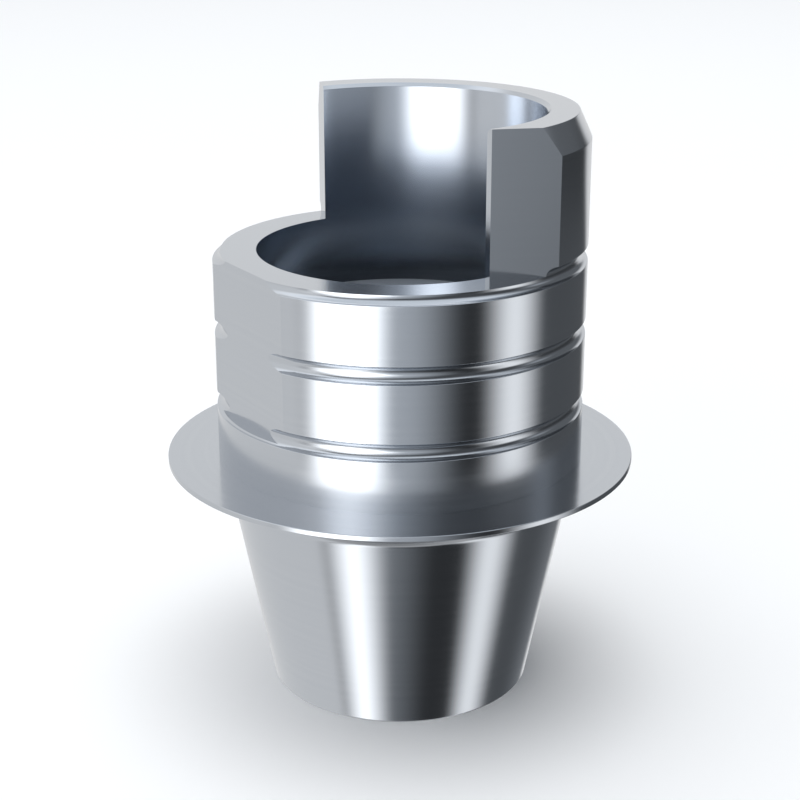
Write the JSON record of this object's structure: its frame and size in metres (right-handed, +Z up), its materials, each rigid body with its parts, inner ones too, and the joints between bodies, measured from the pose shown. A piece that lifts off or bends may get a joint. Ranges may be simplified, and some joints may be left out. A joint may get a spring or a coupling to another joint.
{
  "type": "dental abutment base",
  "caption": "Dental abutment base: a conical seat, a thin round flange and a grooved post with a flat and a partly cut-away wall.",
  "frame": {"origin": "centre of the flat lower end of the cone", "axes": "+Z up along the turning axis, from the cone to the post; +X is the outward normal of the side opposite the tall wall's end face, so the end face looks to -X and the wall's side face to -Y"},
  "size_m": [0.0046, 0.0046, 0.0058],
  "materials": {
    "titanium": "fine turned titanium alloy, satin bright"
  },
  "bodies": {
    "root": {"abutment_base": "titanium"}
  },
  "joints": []
}
